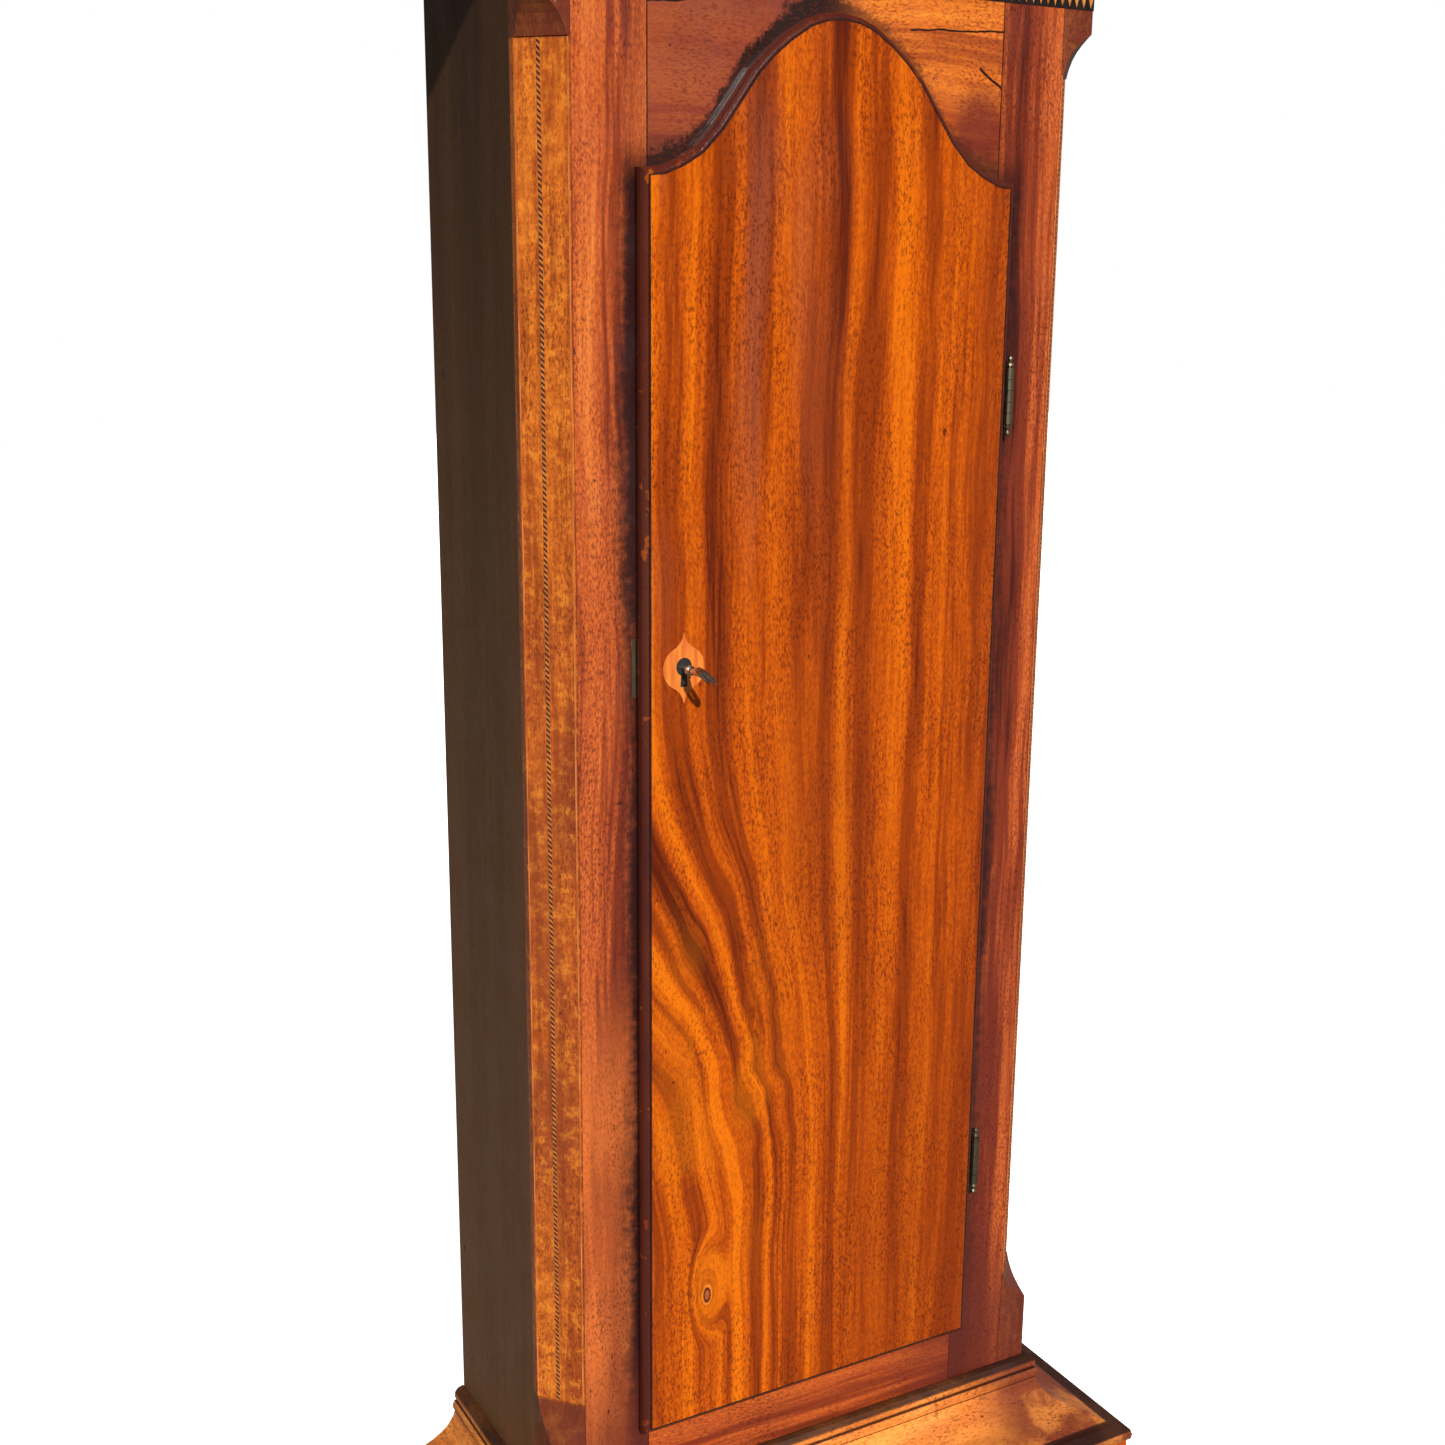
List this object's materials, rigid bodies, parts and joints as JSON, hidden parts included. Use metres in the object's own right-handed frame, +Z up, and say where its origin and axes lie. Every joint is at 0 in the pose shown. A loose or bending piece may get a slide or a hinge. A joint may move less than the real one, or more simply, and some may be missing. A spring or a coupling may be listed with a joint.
{
  "type": "longcase clock",
  "caption": "Tall floor clock with a chamfered trunk, bell-topped trunk door, arched dial hood with swan-neck top, geared movement, seconds pendulum and driving weights.",
  "frame": {"origin": "bottom centre of the bounding box, on the floor", "axes": "+Z up, front of the clock faces -Y, +X to the right seen from the front"},
  "size_m": [0.504, 0.224, 2.2523],
  "materials": {
    "mahogany": "french polished, satin",
    "dark_wood": "dark stained, satin",
    "oak": "bare, aged",
    "brass": "satin",
    "old_brass": "tarnished",
    "bell_metal": "turned",
    "finial_brass": "polished",
    "steel": "satin",
    "blued_steel": "blued, polished",
    "lead": "dull grey",
    "gut": "twisted gut",
    "glass": "clear"
  },
  "bodies": {
    "case": {"backboard": "oak", "base_front_panel": "mahogany", "base_left_side": "dark_wood", "base_right_side": "dark_wood", "front_left_foot": "mahogany", "front_right_foot": "mahogany", "rear_left_foot": "mahogany", "rear_right_foot": "mahogany", "plinth_moulding": "mahogany", "waist_moulding": "mahogany", "trunk_left_side": "dark_wood", "trunk_right_side": "dark_wood", "left_stile": "mahogany", "right_stile": "mahogany", "left_corner_post": "mahogany", "right_corner_post": "mahogany", "trunk_top_rail": "mahogany", "trunk_bottom_rail": "mahogany", "throat_moulding": "mahogany", "upper_hinge_fixed_leaf": "old_brass", "lower_hinge_fixed_leaf": "old_brass", "seatboard": "oak", "front_plate": "brass", "back_plate": "brass", "dial": "brass", "bell": "bell_metal"},
    "trunk_door": {"trunk_door": "mahogany", "upper_hinge_door_leaf": "old_brass", "lower_hinge_door_leaf": "old_brass"},
    "key": {"door_key": "old_brass"},
    "bolt": {"lock_bolt": "steel"},
    "hood": {"hood_base_frame": "mahogany", "hood_left_side": "mahogany", "hood_right_side": "mahogany", "hood_pediment": "mahogany", "hood_mask": "dark_wood", "hood_roof": "oak", "centre_finial": "finial_brass", "left_column": "mahogany", "right_column": "mahogany"},
    "hood_door": {"hood_door_frame": "mahogany", "hood_door_glass": "glass"},
    "great_wheel": {"great_wheel": "brass"},
    "centre_arbor": {"centre_wheel": "brass", "minute_hand": "blued_steel"},
    "hour_hand": {"hour_hand": "blued_steel"},
    "third_arbor": {"third_wheel": "brass"},
    "escape_arbor": {"escape_wheel": "brass"},
    "anchor": {"pallets": "steel"},
    "pendulum": {"pendulum_rod": "steel", "pendulum_bob": "brass"},
    "going_barrel": {"going_barrel": "brass"},
    "strike_barrel": {"strike_barrel": "brass"},
    "going_weight": {"going_weight": "lead", "going_line": "gut"},
    "strike_weight": {"strike_weight": "lead", "strike_line": "gut"},
    "going_pulley": {"going_pulley": "brass"},
    "strike_pulley": {"strike_pulley": "brass"},
    "hammer": {"hammer": "steel"}
  },
  "joints": [
    {"name": "trunk_door_swing", "type": "hinge", "parent": "case", "child": "trunk_door", "pos_m": [0.1245, -0.0435, 0.96], "axis": [0, 0, 1], "range_deg": [0, 110]},
    {"name": "key_turn", "type": "hinge", "parent": "trunk_door", "child": "key", "pos_m": [-0.096, -0.058, 1.067], "axis": [0, 1, 0], "range_deg": [0, 90]},
    {"name": "bolt_throw", "type": "slide", "parent": "trunk_door", "child": "bolt", "axis": [-1, 0, 0], "range_m": [0, 0.008]},
    {"name": "hood_slide", "type": "slide", "parent": "case", "child": "hood", "axis": [0, -1, 0], "range_m": [0, 0.26]},
    {"name": "hood_door_swing", "type": "hinge", "parent": "hood", "child": "hood_door", "pos_m": [0.172, -0.1018, 1.75], "axis": [0, 0, 1], "range_deg": [0, 95]},
    {"name": "minute_arbor", "type": "hinge", "parent": "case", "child": "centre_arbor", "pos_m": [0, 0.002, 1.7125], "axis": [0, 1, 0], "continuous": true},
    {"name": "hour_pipe", "type": "hinge", "parent": "case", "child": "hour_hand", "pos_m": [0, -0.058, 1.7125], "axis": [0, 1, 0], "continuous": true},
    {"name": "great_arbor", "type": "hinge", "parent": "case", "child": "great_wheel", "pos_m": [0.04, 0.002, 1.70107], "axis": [0, 1, 0], "continuous": true},
    {"name": "third_arbor_spin", "type": "hinge", "parent": "case", "child": "third_arbor", "pos_m": [-0.01245, 0.002, 1.73858], "axis": [0, 1, 0], "continuous": true},
    {"name": "escape_arbor_spin", "type": "hinge", "parent": "case", "child": "escape_arbor", "pos_m": [0, 0.002, 1.7605], "axis": [0, 1, 0], "continuous": true},
    {"name": "pendulum_swing", "type": "hinge", "parent": "case", "child": "pendulum", "pos_m": [0, 0.062, 1.7888], "axis": [0, 1, 0], "range_deg": [-2.5, 2.5]},
    {"name": "anchor_rock", "type": "hinge", "parent": "case", "child": "anchor", "pos_m": [0, 0.002, 1.7888], "axis": [0, 1, 0], "range_deg": [-2.5, 2.5]},
    {"name": "going_wind", "type": "hinge", "parent": "case", "child": "going_barrel", "pos_m": [0.04, 0.002, 1.70107], "axis": [0, 1, 0], "range_deg": [0, 5480]},
    {"name": "strike_wind", "type": "hinge", "parent": "case", "child": "strike_barrel", "pos_m": [-0.04, 0.002, 1.70107], "axis": [0, 1, 0], "range_deg": [0, 5480]},
    {"name": "going_weight_travel", "type": "slide", "parent": "case", "child": "going_weight", "axis": [0, 0, 1], "range_m": [0, 0.942], "deforming": ["going_line"]},
    {"name": "strike_weight_travel", "type": "slide", "parent": "case", "child": "strike_weight", "axis": [0, 0, 1], "range_m": [0, 0.942], "deforming": ["strike_line"]},
    {"name": "going_pulley_spin", "type": "hinge", "parent": "going_weight", "child": "going_pulley", "pos_m": [0.0428, 0.01, 0.49], "axis": [0, 1, 0], "range_deg": [0, 2400]},
    {"name": "strike_pulley_spin", "type": "hinge", "parent": "strike_weight", "child": "strike_pulley", "pos_m": [-0.0372, 0.01, 0.49], "axis": [0, 1, 0], "range_deg": [0, 2400]},
    {"name": "hammer_swing", "type": "hinge", "parent": "case", "child": "hammer", "pos_m": [-0.04, 0.002, 1.7825], "axis": [0, 1, 0], "range_deg": [-15, 8]}
  ],
  "couplings": [
    {"joint": "key_turn", "follows": "bolt_throw", "rad_per_m": 196.35},
    {"joint": "hour_pipe", "follows": "minute_arbor", "ratio": 0.083333},
    {"joint": "great_arbor", "follows": "minute_arbor", "ratio": -0.083333},
    {"joint": "third_arbor_spin", "follows": "minute_arbor", "ratio": -7.5},
    {"joint": "escape_arbor_spin", "follows": "minute_arbor", "ratio": 60},
    {"joint": "anchor_rock", "follows": "pendulum_swing", "ratio": 1},
    {"joint": "going_wind", "follows": "going_weight_travel", "rad_per_m": 101.52},
    {"joint": "strike_wind", "follows": "strike_weight_travel", "rad_per_m": 101.52},
    {"joint": "going_pulley_spin", "follows": "going_weight_travel", "rad_per_m": 44.444},
    {"joint": "strike_pulley_spin", "follows": "strike_weight_travel", "rad_per_m": 44.444}
  ]
}
